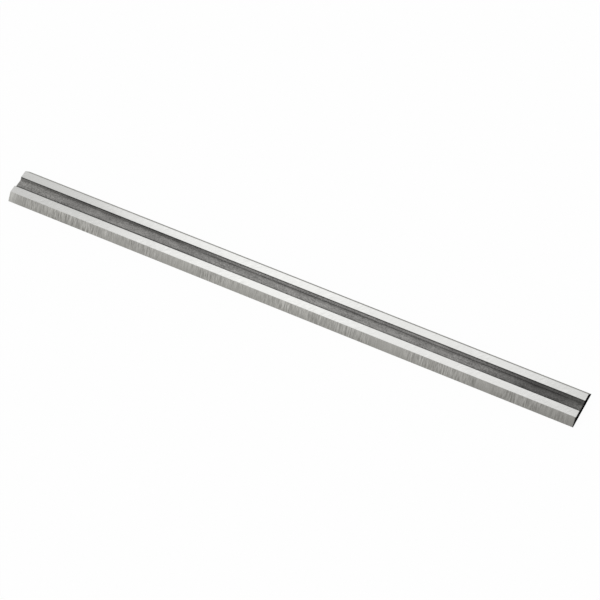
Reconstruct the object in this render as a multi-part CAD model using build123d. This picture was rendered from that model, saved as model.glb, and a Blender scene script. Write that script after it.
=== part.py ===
from build123d import *

import os
from math import radians, tan

# Reversible planer knife for a hand-held power planer, as one solid strip of
# cemented carbide. It lies on its flat rake face, which runs the full width
# from one cutting edge to the other. Each long side is ground to a bevel, so
# the knife can be turned round when its first edge is dull. Between the bevels
# the upper face keeps two ground lands, and the pressed groove along the middle
# drops over the rib of the knife carrier.
#
# X runs along the cutting edges, Y across them and Z up from the rake face. The
# origin is the middle of the rake face. Sizes are in millimetres and degrees.

# Overall size of the knife
knife_length = 82.0
knife_width = 5.5
knife_thickness = 1.1

# Each ground bevel meets the rake face at this angle, in a sharp cutting edge
wedge_angle = 52.0

# Locating groove, pressed into the blank with sloping walls before sintering
groove_mouth_width = 1.7
groove_depth = 0.4
groove_wall_angle = 55.0
groove_floor_radius = 0.12

# The grinding wheel leaves a fine rounding where each land turns into its bevel
land_edge_radius = 0.04


def run_of(height, angle):
    """Sideways run of a slope that climbs by height at this angle to the horizontal."""
    return height / tan(radians(angle))


def blank_section():
    """Section of the ground strip before its groove: rake face, bevels and top face."""
    edge = knife_width / 2
    shoulder = edge - run_of(knife_thickness, wedge_angle)
    outline = Polyline(
        (-edge, 0),
        (edge, 0),
        (shoulder, knife_thickness),
        (-shoulder, knife_thickness),
        close=True,
    )
    face = make_face(outline)
    shoulders = face.vertices().group_by(Axis.Y)[-1]
    return fillet(shoulders, land_edge_radius)


def groove_section():
    """Section of the groove: a trapezium with its floor corners rounded."""
    mouth = groove_mouth_width / 2
    floor = mouth - run_of(groove_depth, groove_wall_angle)
    floor_level = knife_thickness - groove_depth
    outline = Polyline(
        (-mouth, knife_thickness),
        (-floor, floor_level),
        (floor, floor_level),
        (mouth, knife_thickness),
        close=True,
    )
    face = make_face(outline)
    floor_corners = face.vertices().group_by(Axis.Y)[0]
    return fillet(floor_corners, groove_floor_radius)


def planer_knife():
    """The whole knife: its section drawn along the cutting edges and cut square."""
    section = Plane.YZ * (blank_section() - groove_section())
    return extrude(section, amount=knife_length / 2, both=True)


os.makedirs("parts", exist_ok=True)
export_step(planer_knife(), "parts/planer_knife.step")
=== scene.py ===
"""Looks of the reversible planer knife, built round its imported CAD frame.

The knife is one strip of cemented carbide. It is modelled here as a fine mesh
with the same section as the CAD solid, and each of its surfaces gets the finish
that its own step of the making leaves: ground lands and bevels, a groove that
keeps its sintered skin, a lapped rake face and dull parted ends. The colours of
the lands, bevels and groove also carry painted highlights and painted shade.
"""

import logging
import math
from collections.abc import Callable, Iterator
from contextlib import contextmanager
from dataclasses import dataclass, field
from enum import Enum

import bmesh
import bpy
from mathutils import Matrix, Vector


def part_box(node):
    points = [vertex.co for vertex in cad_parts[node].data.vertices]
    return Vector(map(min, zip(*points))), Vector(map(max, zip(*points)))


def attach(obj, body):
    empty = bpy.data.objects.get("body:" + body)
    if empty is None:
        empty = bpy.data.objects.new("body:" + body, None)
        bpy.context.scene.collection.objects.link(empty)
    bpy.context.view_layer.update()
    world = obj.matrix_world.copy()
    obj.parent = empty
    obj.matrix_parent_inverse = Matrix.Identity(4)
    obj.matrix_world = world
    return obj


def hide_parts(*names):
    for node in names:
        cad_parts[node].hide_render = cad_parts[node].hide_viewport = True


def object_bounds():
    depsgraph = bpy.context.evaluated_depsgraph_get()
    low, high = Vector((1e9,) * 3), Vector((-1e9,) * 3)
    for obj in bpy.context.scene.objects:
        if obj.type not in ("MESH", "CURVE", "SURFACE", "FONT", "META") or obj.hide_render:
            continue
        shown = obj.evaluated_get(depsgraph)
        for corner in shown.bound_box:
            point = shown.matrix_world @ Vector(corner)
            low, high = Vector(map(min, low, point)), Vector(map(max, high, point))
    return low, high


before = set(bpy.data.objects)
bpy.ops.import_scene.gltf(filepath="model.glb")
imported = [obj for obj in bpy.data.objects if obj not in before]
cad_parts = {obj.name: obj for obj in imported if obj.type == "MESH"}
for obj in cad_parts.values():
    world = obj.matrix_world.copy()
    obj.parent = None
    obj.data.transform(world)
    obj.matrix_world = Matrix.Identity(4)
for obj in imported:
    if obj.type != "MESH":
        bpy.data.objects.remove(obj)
cad_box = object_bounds()

MM = 0.001
NODE = "planer_knife"
BODY = "root"

# A noise texture keeps to the middle of its range: nearly all of it lies between the first
# two values, and the second two leave a broad pattern with stretches at its full low and high
PATTERN_LOW = 0.3
PATTERN_HIGH = 0.7
ZONE_LOW = 0.38
ZONE_HIGH = 0.62

# How many finer layers the noise texture has for marks and for broad stretches, and how much of
# its strength each finer layer keeps
MARK_LAYERS = 3.0
ZONE_LAYERS = 1.0
LAYER_SHARE = 0.6

# Sockets of a Mix node for colours, by number, because its other sockets have the same names
MIX_FACTOR = 0
MIX_FIRST = 6
MIX_SECOND = 7
MIX_RESULT = 2

log = logging.getLogger("planer_knife")


class Region(Enum):
    """Surfaces of the knife, each with its own finish, in the order of the material slots."""

    LAND = 0
    BEVEL = 1
    GROOVE = 2
    END = 3
    RAKE = 4


class Element(Enum):
    """Kinds of mesh element that can be selected in edit mode."""

    VERT = "VERT"
    EDGE = "EDGE"
    FACE = "FACE"


class Blend(Enum):
    """How a patch changes the colour under it."""

    COVER = "MIX"
    DARKEN = "MULTIPLY"


def linear(colour: str) -> tuple[float, float, float, float]:
    """Turns an sRGB colour into the linear values that Blender's sockets take.

    Args:
        colour: The colour in hex, such as #C8C8C6.

    Returns:
        Linear red, green and blue, and an alpha of 1.
    """
    parts = (int(colour[i : i + 2], 16) / 255 for i in (1, 3, 5))
    turned = (c / 12.92 if c <= 0.04045 else ((c + 0.055) / 1.055) ** 2.4 for c in parts)
    return (*turned, 1.0)


def add_node(
    tree: bpy.types.NodeTree,
    kind: str,
    settings: dict[str, object] | None = None,
    inputs: dict[str | int, object] | None = None,
) -> bpy.types.Node:
    """Adds a shader node with its settings, and fills or links its inputs.

    Args:
        tree: The node tree that the node joins.
        kind: Blender's name of the node type.
        settings: Properties of the node itself.
        inputs: Values or output sockets, by the name or number of the input.

    Returns:
        The new node.
    """
    node = tree.nodes.new(kind)
    for name, value in (settings or {}).items():
        setattr(node, name, value)
    for key, value in (inputs or {}).items():
        if isinstance(value, bpy.types.NodeSocket):
            tree.links.new(value, node.inputs[key])
        else:
            node.inputs[key].default_value = value
    return node


def deselect_all() -> None:
    """Deselects every object, because operators act on all that is selected."""
    bpy.ops.object.select_all(action="DESELECT")


@contextmanager
def editing(piece: bpy.types.Object) -> Iterator[None]:
    """Opens one piece alone in edit mode, with nothing in it selected.

    Args:
        piece: The mesh object to edit.
    """
    deselect_all()
    piece.select_set(True)
    bpy.context.view_layer.objects.active = piece
    bpy.ops.object.mode_set(mode="EDIT")
    bpy.ops.mesh.select_all(action="DESELECT")
    yield
    bpy.ops.object.mode_set(mode="OBJECT")


def select_where(piece: bpy.types.Object, kind: Element, wanted: Callable[..., bool]) -> None:
    """Selects just the mesh elements of one kind that pass a test, in edit mode.

    Args:
        piece: The mesh object that is open in edit mode.
        kind: Which kind of element is selected.
        wanted: The test, which takes a BMesh vertex, edge or face.
    """
    bpy.ops.mesh.select_mode(type=kind.value)
    mesh = bmesh.from_edit_mesh(piece.data)
    sequences = {Element.VERT: mesh.verts, Element.EDGE: mesh.edges, Element.FACE: mesh.faces}
    for element in sequences[kind]:
        element.select_set(False)
    chosen = [element for element in sequences[kind] if wanted(element)]
    for element in chosen:
        element.select_set(True)
    mesh.select_flush_mode()
    bmesh.update_edit_mesh(piece.data)


@dataclass(frozen=True)
class Patch:
    """Change of colour that grows along the knife, from nothing at one place to full at another."""

    start_mm: float
    full_mm: float
    colour: str
    share: float
    blend: Blend


@dataclass(frozen=True)
class Finish:
    """What every finish of the knife shares: its name, where its patterns start and its patches.

    Its marks show fully in some stretches, about as long as a zone, and calm stretches show only
    a share of them.
    """

    name: str
    pattern_start_mm: float
    patches: tuple[Patch, ...]
    zone_length_mm: float
    calm_share: float

    def material(self) -> bpy.types.Material:
        """Builds the finish as a material on Object coordinates.

        Returns:
            The material, ready for a slot.
        """
        material = bpy.data.materials.new(self.name)
        material.use_nodes = True
        tree = material.node_tree
        tree.nodes.clear()
        place = add_node(tree, "ShaderNodeTexCoord").outputs["Object"]
        surface = self._surface(tree, place)
        add_node(tree, "ShaderNodeOutputMaterial", inputs={"Surface": surface})
        return material

    def _surface(self, tree: bpy.types.NodeTree, place: bpy.types.NodeSocket) -> bpy.types.NodeSocket:
        """Adds the shader of this finish.

        Args:
            tree: The material's node tree.
            place: The Object coordinates.

        Returns:
            The shader's output.
        """
        raise NotImplementedError

    def _pattern(
        self,
        tree: bpy.types.NodeTree,
        place: bpy.types.NodeSocket,
        sizes_mm: tuple[float, float, float],
        turn_deg: float = 0.0,
        layers: float = MARK_LAYERS,
    ) -> bpy.types.NodeSocket:
        """Adds a random pattern whose marks have a given size along each axis.

        Args:
            tree: The material's node tree.
            place: The Object coordinates.
            sizes_mm: Size of one mark along its own X, Y and Z.
            turn_deg: How far the marks are turned about Z.
            layers: How many finer layers the pattern has.

        Returns:
            The pattern's value.
        """
        marks = add_node(
            tree,
            "ShaderNodeMapping",
            {"vector_type": "TEXTURE"},
            {
                "Vector": place,
                "Location": (self.pattern_start_mm * MM, 0, 0),
                "Rotation": (0, 0, math.radians(turn_deg)),
                "Scale": tuple(size * MM for size in sizes_mm),
            },
        )
        noise = add_node(
            tree,
            "ShaderNodeTexNoise",
            inputs={"Vector": marks.outputs[0], "Scale": 1.0, "Detail": layers, "Roughness": LAYER_SHARE},
        )
        return noise.outputs[0]

    def _strength(
        self,
        tree: bpy.types.NodeTree,
        place: bpy.types.NodeSocket,
        full: float,
    ) -> bpy.types.NodeSocket:
        """Adds how strongly the marks show, from the calm stretches to the others.

        Args:
            tree: The material's node tree.
            place: The Object coordinates.
            full: The strength where they show fully.

        Returns:
            The strength.
        """
        zones = self._pattern(tree, place, (self.zone_length_mm,) * 3, layers=ZONE_LAYERS)
        strength = add_node(
            tree,
            "ShaderNodeMapRange",
            inputs={
                "Value": zones,
                "From Min": ZONE_LOW,
                "From Max": ZONE_HIGH,
                "To Min": self.calm_share * full,
                "To Max": full,
            },
        )
        return strength.outputs[0]

    def _patched(
        self,
        tree: bpy.types.NodeTree,
        place: bpy.types.NodeSocket,
        colour: bpy.types.NodeSocket,
    ) -> bpy.types.NodeSocket:
        """Lays the patches over a colour.

        Args:
            tree: The material's node tree.
            place: The Object coordinates.
            colour: The colour without patches.

        Returns:
            The colour with them.
        """
        along = add_node(tree, "ShaderNodeSeparateXYZ", inputs={"Vector": place}).outputs["X"]
        for patch in self.patches:
            cover = add_node(
                tree,
                "ShaderNodeMapRange",
                {"interpolation_type": "SMOOTHSTEP"},
                {
                    "Value": along,
                    "From Min": patch.start_mm * MM,
                    "From Max": patch.full_mm * MM,
                    "To Min": 0.0,
                    "To Max": patch.share,
                },
            )
            mixed = add_node(
                tree,
                "ShaderNodeMix",
                {"data_type": "RGBA", "blend_type": patch.blend.value},
                {MIX_FACTOR: cover.outputs[0], MIX_FIRST: colour, MIX_SECOND: linear(patch.colour)},
            )
            colour = mixed.outputs[MIX_RESULT]
        return colour


@dataclass(frozen=True)
class GroundFinish(Finish):
    """Cemented carbide cut by a diamond wheel, with the fine lines that the wheel leaves.

    Wear is the share of the dull colour. The lines raise and lower it about its mean, and
    painted shade adds to the mean toward the foot of the surface.
    """

    bright: str
    dull: str
    edge_tint: str
    metallic: float
    specular_level: float
    roughness: float
    roughness_spread: float
    line_spacing_mm: float
    line_length_mm: float
    line_turn_deg: float
    line_depth_mm: float
    line_wear: float
    mean_wear: float
    # Painted shade: how much more of the dull colour the foot of the surface gets
    painted_foot_shade: float

    def _wear_and_foot_shade(
        self,
        tree: bpy.types.NodeTree,
        place: bpy.types.NodeSocket,
        lines: bpy.types.NodeSocket,
    ) -> bpy.types.NodeSocket:
        """Adds the wear, which follows the wheel's lines, and the painted shade toward the foot.

        Args:
            tree: The material's node tree.
            place: The Object coordinates.
            lines: The pattern of the lines.

        Returns:
            The wear, from 0 to 1.
        """
        half = self.line_wear / 2
        spread = add_node(
            tree,
            "ShaderNodeMapRange",
            inputs={
                "Value": lines,
                "From Min": PATTERN_LOW,
                "From Max": PATTERN_HIGH,
                "To Min": -half,
                "To Max": half,
            },
        )
        height = add_node(tree, "ShaderNodeSeparateXYZ", inputs={"Vector": place}).outputs["Z"]
        # The mean grows toward the foot by the painted shade
        mean = add_node(
            tree,
            "ShaderNodeMapRange",
            inputs={
                "Value": height,
                "From Min": cad_box[0].z,
                "From Max": cad_box[1].z,
                "To Min": self.mean_wear + self.painted_foot_shade,
                "To Max": self.mean_wear,
            },
        )
        wear = add_node(
            tree,
            "ShaderNodeMath",
            {"operation": "MULTIPLY_ADD", "use_clamp": True},
            {0: spread.outputs[0], 1: self._strength(tree, place, full=1.0), 2: mean.outputs[0]},
        )
        return wear.outputs[0]

    def _surface(self, tree: bpy.types.NodeTree, place: bpy.types.NodeSocket) -> bpy.types.NodeSocket:
        """Adds the lines, the worn colour with its patches, and the shader.

        Args:
            tree: The material's node tree.
            place: The Object coordinates.

        Returns:
            The shader's output.
        """
        line_sizes = (self.line_spacing_mm, self.line_length_mm, self.line_length_mm)
        lines = self._pattern(tree, place, line_sizes, self.line_turn_deg)
        colour = add_node(
            tree,
            "ShaderNodeMix",
            {"data_type": "RGBA"},
            {
                MIX_FACTOR: self._wear_and_foot_shade(tree, place, lines),
                MIX_FIRST: linear(self.bright),
                MIX_SECOND: linear(self.dull),
            },
        )
        roughness = add_node(
            tree,
            "ShaderNodeMapRange",
            inputs={
                "Value": lines,
                "From Min": PATTERN_LOW,
                "From Max": PATTERN_HIGH,
                "To Min": self.roughness - self.roughness_spread,
                "To Max": self.roughness + self.roughness_spread,
            },
        )
        bump = add_node(
            tree,
            "ShaderNodeBump",
            inputs={"Strength": 1.0, "Distance": self.line_depth_mm * MM, "Height": lines},
        )
        surface = add_node(
            tree,
            "ShaderNodeBsdfPrincipled",
            inputs={
                "Base Color": self._patched(tree, place, colour.outputs[MIX_RESULT]),
                "Metallic": self.metallic,
                "Roughness": roughness.outputs[0],
                "Specular IOR Level": self.specular_level,
                "Specular Tint": linear(self.edge_tint),
                "Normal": bump.outputs[0],
            },
        )
        return surface.outputs[0]


@dataclass(frozen=True)
class SkinAndShadeTones:
    """Tones across the groove, on one stretch of the knife, with painted shade in the corners, under the
    mouth and on the walls.
    """

    near_corner: str
    floor: str
    far_floor: str
    far_corner: str
    wall: str
    rim: str

    def stops(self) -> tuple[tuple[float, str], ...]:
        """Gives the tones their places across the groove, from its near side to its far side.

        Returns:
            Each stop's distance from the knife's middle in millimetres, and its tone.
        """
        return (
            (-0.78, self.rim),
            (-0.73, self.wall),
            (-0.66, self.wall),
            (-0.60, self.near_corner),
            (-0.48, self.near_corner),
            (-0.38, self.floor),
            (0.10, self.floor),
            (0.42, self.far_floor),
            (0.50, self.far_corner),
            (0.57, self.far_corner),
            (0.62, self.wall),
            (0.73, self.wall),
            (0.78, self.rim),
        )


@dataclass(frozen=True)
class SinteredFinish(Finish):
    """Carbide skin as it leaves the sintering furnace: grey, matt, mottled and finely grainy."""

    first: SkinAndShadeTones
    second: SkinAndShadeTones
    change_from_mm: float
    change_to_mm: float
    half_width_mm: float
    roughness: float
    mottle_length_mm: float
    mottle_mm: float
    mottle_share: float
    grain_mm: float
    grain_share: float
    grain_depth_mm: float

    def _tones(
        self,
        tree: bpy.types.NodeTree,
        across: bpy.types.NodeSocket,
        tones: SkinAndShadeTones,
    ) -> bpy.types.NodeSocket:
        """Adds a ramp that gives one stretch its tones across the groove.

        Args:
            tree: The material's node tree.
            across: Place across the groove, from 0 to 1.
            tones: The tones of this stretch.

        Returns:
            The ramp's colour.
        """
        ramp = add_node(tree, "ShaderNodeValToRGB", inputs={0: across})
        elements = ramp.color_ramp.elements
        while len(elements) > 1:
            elements.remove(elements[-1])
        first, *others = tones.stops()
        elements[0].position = self._share_across(first[0])
        elements[0].color = linear(first[1])
        for place_mm, tone in others:
            elements.new(self._share_across(place_mm)).color = linear(tone)
        return ramp.outputs[0]

    def _share_across(self, place_mm: float) -> float:
        """Turns a place across the groove into a share of the ramp's whole width."""
        return 0.5 + place_mm / (2 * self.half_width_mm)

    def _skin_and_shade(self, tree: bpy.types.NodeTree, place: bpy.types.NodeSocket) -> bpy.types.NodeSocket:
        """Adds the skin's colour with its painted shade, which changes from one stretch's tones to the
        other's.

        Args:
            tree: The material's node tree.
            place: The Object coordinates.

        Returns:
            The colour, with its painted shade and its patches.
        """
        axes = add_node(tree, "ShaderNodeSeparateXYZ", inputs={"Vector": place})
        reach = self.half_width_mm * MM
        across = add_node(
            tree,
            "ShaderNodeMapRange",
            inputs={"Value": axes.outputs["Y"], "From Min": -reach, "From Max": reach},
        )
        change = add_node(
            tree,
            "ShaderNodeMapRange",
            {"interpolation_type": "SMOOTHSTEP"},
            {
                "Value": axes.outputs["X"],
                "From Min": self.change_from_mm * MM,
                "From Max": self.change_to_mm * MM,
            },
        )
        # The skin's colour with the painted shade across the groove
        skin = add_node(
            tree,
            "ShaderNodeMix",
            {"data_type": "RGBA"},
            {
                MIX_FACTOR: change.outputs[0],
                MIX_FIRST: self._tones(tree, across.outputs[0], self.first),
                MIX_SECOND: self._tones(tree, across.outputs[0], self.second),
            },
        )
        return self._patched(tree, place, skin.outputs[MIX_RESULT])

    def _lightness(
        self,
        tree: bpy.types.NodeTree,
        place: bpy.types.NodeSocket,
        grain: bpy.types.NodeSocket,
    ) -> bpy.types.NodeSocket:
        """Adds how much lighter or darker than its tone the skin is, in blotches and in grain.

        Args:
            tree: The material's node tree.
            place: The Object coordinates.
            grain: The pattern of the grain.

        Returns:
            The factor, which is 1 on average.
        """
        mottle = self._pattern(tree, place, (self.mottle_length_mm, self.mottle_mm, self.mottle_mm))
        clouds = add_node(
            tree,
            "ShaderNodeMapRange",
            {"clamp": False},
            {
                "Value": mottle,
                "From Min": PATTERN_LOW,
                "From Max": PATTERN_HIGH,
                "To Min": 1.0 - self.mottle_share,
                "To Max": 1.0 + self.mottle_share,
            },
        )
        spread = add_node(
            tree,
            "ShaderNodeMapRange",
            {"clamp": False},
            {
                "Value": grain,
                "From Min": PATTERN_LOW,
                "From Max": PATTERN_HIGH,
                "To Min": -1.0,
                "To Max": 1.0,
            },
        )
        strength = self._strength(tree, place, self.grain_share)
        lightness = add_node(
            tree,
            "ShaderNodeMath",
            {"operation": "MULTIPLY_ADD"},
            {0: spread.outputs[0], 1: strength, 2: clouds.outputs[0]},
        )
        return lightness.outputs[0]

    def _surface(self, tree: bpy.types.NodeTree, place: bpy.types.NodeSocket) -> bpy.types.NodeSocket:
        """Adds the skin's colour, its mottle and grain, and the shader.

        Args:
            tree: The material's node tree.
            place: The Object coordinates.

        Returns:
            The shader's output.
        """
        grain = self._pattern(tree, place, (self.grain_mm,) * 3)
        colour = add_node(
            tree,
            "ShaderNodeVectorMath",
            {"operation": "SCALE"},
            {"Vector": self._skin_and_shade(tree, place), "Scale": self._lightness(tree, place, grain)},
        )
        bump = add_node(
            tree,
            "ShaderNodeBump",
            inputs={"Strength": 1.0, "Distance": self.grain_depth_mm * MM, "Height": grain},
        )
        surface = add_node(
            tree,
            "ShaderNodeBsdfPrincipled",
            inputs={
                "Base Color": colour.outputs[0],
                "Metallic": 1.0,
                "Roughness": self.roughness,
                "Normal": bump.outputs[0],
            },
        )
        return surface.outputs[0]


FINISHES = {
    # Cemented carbide, ground on its face by a fine diamond cup wheel. The eye sees a pale, nearly
    # even metal with faint strokes askew to the edges. Real strokes lie about 0.02 mm apart, so
    # they are drawn coarser, as fine as the render can show. The face is brightest left of the
    # middle, partly from the land softbox and partly from a painted highlight: the first patch
    # paints it lighter from 32 mm left of the middle onward, and the second darker again from just
    # left of the middle to 18 mm right of it. The patch at 41 mm darkens the last 0.05 mm before
    # the right end, which the bevels and the groove show too.
    Region.LAND: GroundFinish(
        name="face_ground_carbide_land",
        pattern_start_mm=0.0,
        patches=(
            # Painted highlight: lighter from the left part on, darker again past the middle
            Patch(-32.0, -24.0, "#FFFFFF", 0.07, Blend.COVER),
            Patch(-2.0, 18.0, "#F4F4F4", 1.0, Blend.DARKEN),
            Patch(40.95, 41.0, "#303030", 1.0, Blend.DARKEN),
        ),
        bright="#CFCFCD",
        dull="#9E9E9B",
        edge_tint="#D0D0CE",
        metallic=1.0,
        specular_level=0.5,
        roughness=0.17,
        roughness_spread=0.03,
        line_spacing_mm=0.1,
        line_length_mm=1.0,
        line_turn_deg=-42.0,
        line_depth_mm=0.0006,
        line_wear=0.55,
        mean_wear=0.29,
        painted_foot_shade=0.0,
        zone_length_mm=3.0,
        calm_share=0.1,
    ),
    # Cemented carbide, ground by a wheel that runs across the cutting edge. The eye sees a warmer
    # mid grey with short lines across it, strong in some stretches and weak in others. The grey is
    # partly the duller cross grinding and partly painted shade. Painted shade also darkens it toward
    # the edge and toward the right end, and a painted highlight makes it paler over the last 1.5 mm
    # of the left end. The last patch darkens the last 0.15 mm before the right end, as on the face.
    # Real lines lie about 0.03 mm apart and are drawn coarser as well.
    Region.BEVEL: GroundFinish(
        name="cross_ground_carbide_bevel",
        pattern_start_mm=20.0,
        patches=(
            # Painted highlight at the left end, then painted shade toward the right end
            Patch(-39.4, -40.9, "#C6C6C2", 0.35, Blend.COVER),
            Patch(22.0, 36.0, "#F6F6F6", 1.0, Blend.DARKEN),
            Patch(40.84, 40.98, "#303030", 1.0, Blend.DARKEN),
        ),
        bright="#A09F9B",
        dull="#73726E",
        edge_tint="#D2D2CF",
        metallic=1.0,
        specular_level=0.5,
        roughness=0.3,
        roughness_spread=0.06,
        line_spacing_mm=0.15,
        line_length_mm=1.3,
        line_turn_deg=4.0,
        line_depth_mm=0.0015,
        line_wear=1.1,
        mean_wear=0.37,
        painted_foot_shade=0.3,
        zone_length_mm=4.5,
        calm_share=0.08,
    ),
    # Cemented carbide, pressed to shape and sintered, and never ground here. The eye sees a dull
    # dark grey with a grain like fine grit, and pale and dark blotches half a millimetre wide and
    # drawn out along the knife. Painted shade darkens it under the mouth and in the corners, and
    # between 17 and 10 mm left of the middle it moves from the near corner and the walls to the far
    # corner. Painted shade also covers the right end. Both ends are a little hazy, and the last
    # patch darkens the last 0.15 mm before the right end.
    Region.GROOVE: SinteredFinish(
        name="sintered_carbide_groove_skin",
        pattern_start_mm=19.0,
        patches=(
            Patch(-33.0, -38.5, "#A2A29C", 0.12, Blend.COVER),
            # Painted shade over the right end
            Patch(22.0, 36.0, "#A8A8A8", 1.0, Blend.DARKEN),
            Patch(37.5, 40.8, "#A2A29C", 0.08, Blend.COVER),
            Patch(40.84, 40.98, "#404040", 1.0, Blend.DARKEN),
        ),
        # Tones with painted shade under the mouth, in the corners and on the walls, left and right of the
        # change
        first=SkinAndShadeTones(
            near_corner="#525150",
            floor="#807F7D",
            far_floor="#7E7D7B",
            far_corner="#787775",
            wall="#6C6B69",
            rim="#343433",
        ),
        second=SkinAndShadeTones(
            near_corner="#747371",
            floor="#868583",
            far_floor="#767573",
            far_corner="#575655",
            wall="#8F8E8C",
            rim="#52514F",
        ),
        change_from_mm=-17.0,
        change_to_mm=-10.0,
        half_width_mm=0.9,
        roughness=0.5,
        mottle_length_mm=2.6,
        mottle_mm=0.5,
        mottle_share=0.22,
        grain_mm=0.16,
        grain_share=0.45,
        grain_depth_mm=0.004,
        zone_length_mm=6.0,
        calm_share=0.7,
    ),
    # Cemented carbide, parted to length while it was still chalky and sintered after that. The
    # eye sees a matt, mottled, almost black face.
    Region.END: GroundFinish(
        name="rough_parted_carbide_end",
        pattern_start_mm=0.0,
        patches=(),
        bright="#1C1C1C",
        dull="#040404",
        edge_tint="#202020",
        metallic=0.0,
        specular_level=0.0,
        roughness=0.8,
        roughness_spread=0.1,
        line_spacing_mm=0.35,
        line_length_mm=0.35,
        line_turn_deg=0.0,
        line_depth_mm=0.004,
        line_wear=1.0,
        mean_wear=0.5,
        painted_foot_shade=0.0,
        zone_length_mm=1.0,
        calm_share=0.25,
    ),
    # Cemented carbide, lapped flat. The eye sees an even pale metal with long, very faint lines
    # along the knife. Real lapping marks are microns wide, so these are drawn much coarser.
    Region.RAKE: GroundFinish(
        name="lapped_carbide_rake_face",
        pattern_start_mm=0.0,
        patches=(),
        bright="#C4C4C2",
        dull="#B2B2B0",
        edge_tint="#D0D0CE",
        metallic=1.0,
        specular_level=0.5,
        roughness=0.2,
        roughness_spread=0.04,
        line_spacing_mm=0.2,
        line_length_mm=9.0,
        line_turn_deg=90.0,
        line_depth_mm=0.001,
        line_wear=0.5,
        mean_wear=0.25,
        painted_foot_shade=0.0,
        zone_length_mm=4.0,
        calm_share=0.25,
    ),
}


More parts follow.
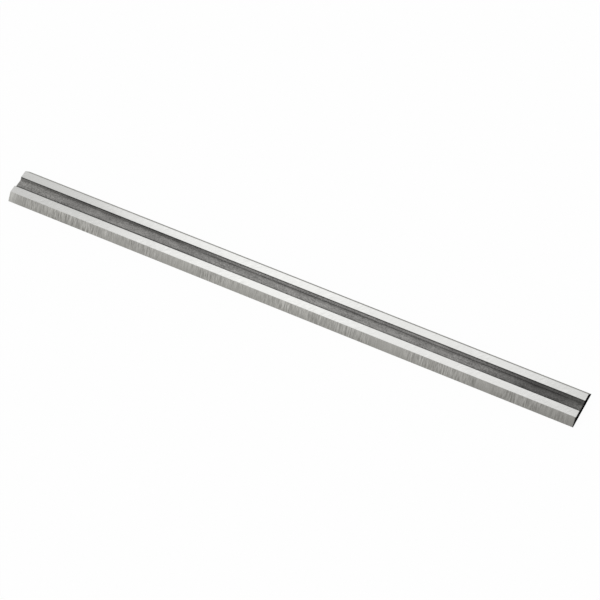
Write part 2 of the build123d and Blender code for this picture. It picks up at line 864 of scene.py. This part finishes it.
@dataclass
class PlanerKnife:
    """The knife strip, with the sizes of its section in millimetres and its box from the frame."""

    low: Vector
    high: Vector
    wedge_angle_deg: float = 52.0
    land_edge_radius_mm: float = 0.04
    groove_mouth_mm: float = 1.7
    groove_depth_mm: float = 0.4
    groove_wall_angle_deg: float = 55.0
    groove_floor_radius_mm: float = 0.12
    mouth_break_mm: float = 0.015
    # Into how many strips, rows and columns the roundings and the surfaces are divided
    land_edge_segments: int = 4
    groove_floor_segments: int = 5
    mouth_break_segments: int = 2
    floor_rows: int = 10
    wall_rows: int = 4
    columns_by_two_cuts: tuple[int, int] = (16, 32)
    # The relief of the sintered skin
    relief_height_mm: float = 0.02
    relief_size_mm: float = 0.7
    # Sharper turns than this stay sharp, and at full weight the widest face at a vertex sets its
    # shading alone
    smooth_angle_deg: float = 40.0
    normal_weight: int = 100
    normal_tolerance: float = 0.0
    # Allowances and limits of the tests that pick faces, edges and vertices
    bevel_allowance_deg: float = 3.0
    slope_allowance: float = 0.02
    facing: float = 0.9
    flat_facing: float = 0.99
    near_mm: float = 0.001
    piece: bpy.types.Object = field(init=False)

    def __post_init__(self) -> None:
        """Works out the section's main lines from its sizes."""
        size = self.high - self.low
        self.length, self.width, self.thickness = size
        self.edge_y = self.width / 2
        wedge_run = self.thickness / math.tan(math.radians(self.wedge_angle_deg))
        self.shoulder_y = self.edge_y - wedge_run
        self.mouth_y = self.groove_mouth_mm * MM / 2
        self.depth = self.groove_depth_mm * MM
        wall_run = self.depth / math.tan(math.radians(self.groove_wall_angle_deg))
        self.floor_y = self.mouth_y - wall_run
        self.mouth_break = self.mouth_break_mm * MM
        self.top = self.high.z
        self.floor_z = self.top - self.depth
        self.near = self.near_mm * MM

    def build(self) -> bpy.types.Object:
        """Models the knife, from its blank to its finished surfaces.

        Returns:
            The finished piece.
        """
        self._add_blank()
        self._grind_bevels()
        self._press_groove()
        self._round_edges()
        self._divide_groove()
        self._divide_lengthwise()
        self._roughen_skin()
        self._set_shading()
        self._dress()
        return self.piece

    def _add_blank(self) -> None:
        """Adds the rectangular blank at its size and place."""
        deselect_all()
        centre = (self.low + self.high) / 2
        bpy.ops.mesh.primitive_cube_add(size=1, location=centre, scale=self.high - self.low)
        self.piece = bpy.context.object
        self.piece.name = "ground_knife"
        self.piece.data.name = "ground_knife"
        bpy.ops.object.transform_apply(location=True, rotation=True, scale=True)

    def _grind_bevels(self) -> None:
        """Draws the top face in on both sides, so that each long side becomes a bevel."""
        with editing(self.piece):
            select_where(self.piece, Element.VERT, lambda v: v.co.z > self.top - self.near)
            bpy.ops.transform.resize(
                value=(1, self.shoulder_y / self.edge_y, 1),
                center_override=(0, 0, self.top),
            )

    def _press_groove(self) -> None:
        """Divides the top face at the groove's four lines and sinks its floor."""
        with editing(self.piece):
            for line_y in (-self.mouth_y, -self.floor_y, self.floor_y, self.mouth_y):
                select_where(self.piece, Element.FACE, self._is_top_face)
                bpy.ops.mesh.bisect(plane_co=(0, line_y, 0), plane_no=(0, 1, 0))
            select_where(self.piece, Element.VERT, self._is_on_floor_strip)
            bpy.ops.transform.translate(value=(0, 0, -self.depth))

    def _is_top_face(self, face: bmesh.types.BMFace) -> bool:
        """True for a face that lies in the plane of the lands."""
        return all(v.co.z > self.top - self.near for v in face.verts)

    def _is_on_floor_strip(self, vert: bmesh.types.BMVert) -> bool:
        """True for a vertex of the top face between the lines of the groove floor."""
        return vert.co.z > self.top - self.near and abs(vert.co.y) < self.floor_y + self.near

    def _runs_along(self, edge: bmesh.types.BMEdge, y: float, z: float) -> bool:
        """Tests whether an edge runs along the knife on one of a pair of mirrored lines.

        Args:
            edge: The edge to test.
            y: Distance of both lines from the knife's middle.
            z: Height of both lines.

        Returns:
            True if it does.
        """
        first, last = (v.co for v in edge.verts)
        on_line = all(abs(abs(p.y) - y) < self.near and abs(p.z - z) < self.near for p in (first, last))
        return on_line and abs(first.x - last.x) > self.near

    def _round_edges(self) -> None:
        """Rounds the land edges and floor corners, and breaks the groove's mouth."""
        wedge_half_turn = math.radians(self.wedge_angle_deg) / 2
        wall_half_turn = math.radians(self.groove_wall_angle_deg) / 2
        land_offset = self.land_edge_radius_mm * MM * math.tan(wedge_half_turn)
        floor_offset = self.groove_floor_radius_mm * MM * math.tan(wall_half_turn)
        rounds = (
            (self.shoulder_y, self.top, land_offset, self.land_edge_segments),
            (self.floor_y, self.floor_z, floor_offset, self.groove_floor_segments),
            (self.mouth_y, self.top, self.mouth_break, self.mouth_break_segments),
        )
        with editing(self.piece):
            for y, z, offset, segments in rounds:
                select_where(self.piece, Element.EDGE, lambda e: self._runs_along(e, y, z))
                bpy.ops.mesh.bevel(offset=offset, segments=segments, affect="EDGES", clamp_overlap=False)

    def _is_floor(self, face: bmesh.types.BMFace) -> bool:
        """True for a face of the groove's flat floor."""
        return face.normal.z > self.flat_facing and face.calc_center_median().z < self.floor_z + self.near

    def _is_wall(self, face: bmesh.types.BMFace) -> bool:
        """Tests whether a face is part of the groove's sloping walls.

        Args:
            face: The face to test.

        Returns:
            True if it is.
        """
        slope = math.cos(math.radians(self.groove_wall_angle_deg))
        sloping = abs(face.normal.z - slope) < self.slope_allowance
        return sloping and abs(face.calc_center_median().y) < self.mouth_y

    def _divide_groove(self) -> None:
        """Divides the groove's floor and walls into narrow rows, which the relief of its skin needs."""
        with editing(self.piece):
            for row in range(1, self.floor_rows):
                select_where(self.piece, Element.FACE, self._is_floor)
                line_y = self.floor_y * (2 * row / self.floor_rows - 1)
                bpy.ops.mesh.bisect(plane_co=(0, line_y, 0), plane_no=(0, 1, 0))
            for row in range(1, self.wall_rows):
                select_where(self.piece, Element.FACE, self._is_wall)
                line_z = self.floor_z + self.depth * row / self.wall_rows
                bpy.ops.mesh.bisect(plane_co=(0, 0, line_z), plane_no=(0, 0, 1))

    def _is_lengthwise(self, edge: bmesh.types.BMEdge) -> bool:
        """True for an edge that runs along the knife."""
        step = edge.verts[0].co - edge.verts[1].co
        return abs(step.x) > self.facing * step.length

    def _divide_lengthwise(self) -> None:
        """Divides the knife into short columns, which the relief needs as well."""
        with editing(self.piece):
            for columns in self.columns_by_two_cuts:
                select_where(self.piece, Element.EDGE, self._is_lengthwise)
                bpy.ops.mesh.subdivide(number_cuts=columns - 1)

    def _is_in_skin(self, vert: bmesh.types.BMVert) -> bool:
        """Tests whether a vertex is inside the groove, away from its mouth and its open ends.

        Args:
            vert: The vertex to test.

        Returns:
            True if it is.
        """
        inside = vert.co.z < self.top - self.mouth_break - self.near
        between_ends = abs(vert.co.x) < self.length / 2 - self.near
        return inside and between_ends and abs(vert.co.y) < self.mouth_y

    def _roughen_skin(self) -> None:
        """Gives the groove the slight unevenness of a pressed and sintered skin."""
        with editing(self.piece):
            select_where(self.piece, Element.VERT, self._is_in_skin)
            bpy.ops.object.vertex_group_assign_new()
        clouds = bpy.data.textures.new("sintered_relief", "CLOUDS")
        clouds.noise_scale = self.relief_size_mm * MM
        relief = self.piece.modifiers.new("relief", "DISPLACE")
        relief.texture = clouds
        relief.texture_coords = "LOCAL"
        relief.vertex_group = self.piece.vertex_groups[0].name
        relief.strength = self.relief_height_mm * MM
        bpy.ops.object.modifier_apply(modifier=relief.name)
        self.piece.vertex_groups.clear()
        bpy.data.textures.remove(clouds)

    def _set_shading(self) -> None:
        """Shades curved stretches smooth and keeps flats flat and edges sharp."""
        deselect_all()
        self.piece.select_set(True)
        bpy.context.view_layer.objects.active = self.piece
        bpy.ops.object.shade_smooth_by_angle(angle=math.radians(self.smooth_angle_deg))
        weighted = self.piece.modifiers.new("flats", "WEIGHTED_NORMAL")
        weighted.keep_sharp = True
        weighted.weight = self.normal_weight
        weighted.thresh = self.normal_tolerance
        bpy.ops.object.modifier_apply(modifier=weighted.name)

    def _region(self, face: bmesh.types.BMFace) -> Region:
        """Finds which surface of the knife a face belongs to.

        Args:
            face: A face of the finished mesh.

        Returns:
            The region whose finish it wears.
        """
        centre = face.calc_center_median()
        if abs(face.normal.x) > self.facing:
            return Region.END
        if face.normal.z < -self.facing:
            return Region.RAKE
        if abs(centre.y) < self.mouth_y and centre.z < self.top - self.mouth_break:
            return Region.GROOVE
        if face.normal.z < math.cos(math.radians(self.wedge_angle_deg - self.bevel_allowance_deg)):
            return Region.BEVEL
        return Region.LAND

    def _dress(self) -> None:
        """Gives each surface its finish."""
        for region in Region:
            self.piece.data.materials.append(FINISHES[region].material())
        with editing(self.piece):
            for region in Region:
                select_where(self.piece, Element.FACE, lambda f: self._region(f) is region)
                self.piece.active_material_index = region.value
                bpy.ops.object.material_slot_assign()


@dataclass(frozen=True)
class Softbox:
    """One flat studio lamp. It stands on a line from the knife, and its width runs with the knife."""

    name: str
    towards: tuple[float, float, float]
    distance: float
    width: float
    height: float
    radiance: float

    def add(self) -> None:
        """Adds the lamp, turned to face the knife."""
        back = Vector(self.towards).normalized()
        across = (Vector((1, 0, 0)) - back * back.x).normalized()
        turn = Matrix((across, back.cross(across), back)).transposed()
        bpy.ops.object.light_add(type="AREA", location=back * self.distance)
        lamp = bpy.context.object
        lamp.name = self.name
        lamp.matrix_world = Matrix.Translation(back * self.distance) @ turn.to_4x4()
        lamp.data.shape = "RECTANGLE"
        lamp.data.size = self.width
        lamp.data.size_y = self.height
        # A flat lamp sends out pi times its radiance from each square metre
        lamp.data.energy = math.pi * self.radiance * self.width * self.height
        lamp.visible_camera = False


@dataclass(frozen=True)
class Studio:
    """Pale floor, plain white surroundings, soft lamps and the camera. Sizes are in metres."""

    floor_size: float = 6.0
    floor_drop: float = 0.00001
    floor_colour: str = "#F2F2F2"
    # How much of the floor looks plain white, whatever light or shadow falls on it
    floor_whiteness: float = 0.96
    # Strength of the light that the surroundings give, beside the white that the eye sees
    ambient: float = 0.8
    azimuth_deg: float = 32.350
    elevation_deg: float = 53.985
    roll_deg: float = -5.387
    distance: float = 0.344
    # How far the camera is moved to its own right and up, without turning
    aside: float = 0.001271
    above: float = -0.000728
    lens_mm: float = 160.75
    sensor_mm: float = 36.0
    clip_from: float = 0.01
    clip_to: float = 20.0
    softboxes: tuple[Softbox, ...] = (
        Softbox(
            name="land_softbox",
            towards=(-0.291, 0.501, 0.815),
            distance=1.0,
            width=0.243,
            height=0.9,
            radiance=0.58,
        ),
        Softbox(
            name="bevel_softbox",
            towards=(-0.355, -0.893, 0.275),
            distance=1.0,
            width=0.22,
            height=0.5,
            radiance=0.8,
        ),
        Softbox(
            name="top_softbox",
            towards=(0.3, 0.1, 1.0),
            distance=1.2,
            width=0.8,
            height=0.8,
            radiance=0.4,
        ),
    )

    def build(self) -> None:
        """Sets up everything round the knife."""
        self._add_floor()
        self._light_world()
        for softbox in self.softboxes:
            softbox.add()
            log.info("lamp %s", softbox.name)
        self._add_camera()
        bpy.context.scene.view_settings.view_transform = "Standard"

    @staticmethod
    def _seen(tree: bpy.types.NodeTree) -> bpy.types.NodeSocket:
        """Adds whether a ray comes from the camera, or from gloss or glass.

        Args:
            tree: The node tree of the floor or the world.

        Returns:
            The value, which is 1 where it does and 0 elsewhere.
        """
        path = add_node(tree, "ShaderNodeLightPath")
        first = add_node(
            tree,
            "ShaderNodeMath",
            {"operation": "MAXIMUM"},
            {0: path.outputs["Is Camera Ray"], 1: path.outputs["Is Glossy Ray"]},
        )
        both = add_node(
            tree,
            "ShaderNodeMath",
            {"operation": "MAXIMUM"},
            {0: first.outputs[0], 1: path.outputs["Is Transmission Ray"]},
        )
        return both.outputs[0]

    def _add_floor(self) -> None:
        """Adds the pale floor, which looks white and still holds the knife's shadow."""
        deselect_all()
        bpy.ops.mesh.primitive_plane_add(size=self.floor_size, location=(0, 0, -self.floor_drop))
        floor = bpy.context.object
        floor.name = "floor"
        material = bpy.data.materials.new("white_sweep")
        material.use_nodes = True
        tree = material.node_tree
        tree.nodes.clear()
        paper = add_node(tree, "ShaderNodeBsdfDiffuse", inputs={"Color": linear(self.floor_colour)})
        white = add_node(tree, "ShaderNodeEmission", inputs={"Strength": 1.0})
        share = add_node(
            tree,
            "ShaderNodeMath",
            {"operation": "MULTIPLY"},
            {0: self._seen(tree), 1: self.floor_whiteness},
        )
        shown = add_node(
            tree,
            "ShaderNodeMixShader",
            inputs={0: share.outputs[0], 1: paper.outputs[0], 2: white.outputs[0]},
        )
        add_node(tree, "ShaderNodeOutputMaterial", inputs={"Surface": shown.outputs[0]})
        floor.data.materials.append(material)

    def _light_world(self) -> None:
        """Makes the surroundings white to the eye and gives the knife plain soft light."""
        world = bpy.data.worlds.new("white_room")
        world.use_nodes = True
        bpy.context.scene.world = world
        tree = world.node_tree
        tree.nodes.clear()
        strength = add_node(
            tree,
            "ShaderNodeMapRange",
            inputs={"Value": self._seen(tree), "To Min": self.ambient, "To Max": 1.0},
        )
        light = add_node(
            tree,
            "ShaderNodeBackground",
            inputs={"Color": linear("#FFFFFF"), "Strength": strength.outputs[0]},
        )
        add_node(tree, "ShaderNodeOutputWorld", inputs={"Surface": light.outputs[0]})

    def _add_camera(self) -> None:
        """Adds the camera where the photograph was taken from."""
        azimuth = math.radians(self.azimuth_deg)
        elevation = math.radians(self.elevation_deg)
        back = Vector(
            (
                math.sin(azimuth) * math.cos(elevation),
                -math.cos(azimuth) * math.cos(elevation),
                math.sin(elevation),
            )
        )
        level = Vector((math.cos(azimuth), math.sin(azimuth), 0))
        turn = Matrix((level, back.cross(level), back)).transposed()
        turn = turn @ Matrix.Rotation(math.radians(self.roll_deg), 3, "Z")
        right, up = turn.col[0], turn.col[1]
        place = back * self.distance + right * self.aside + up * self.above
        bpy.ops.object.camera_add(location=place)
        camera = bpy.context.object
        camera.name = "camera"
        camera.matrix_world = Matrix.Translation(place) @ turn.to_4x4()
        camera.data.lens = self.lens_mm
        camera.data.sensor_width = self.sensor_mm
        camera.data.clip_start = self.clip_from
        camera.data.clip_end = self.clip_to
        bpy.context.scene.camera = camera


def main() -> None:
    """Builds the knife and its studio, and ties the knife to the frame."""
    logging.basicConfig(level=logging.INFO, format="%(name)s: %(message)s")
    knife = PlanerKnife(*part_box(NODE))
    piece = knife.build()
    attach(piece, BODY)
    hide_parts(NODE)
    log.info("piece %s with %d faces", piece.name, len(piece.data.polygons))
    Studio().build()


if __name__ == "__main__":
    main()
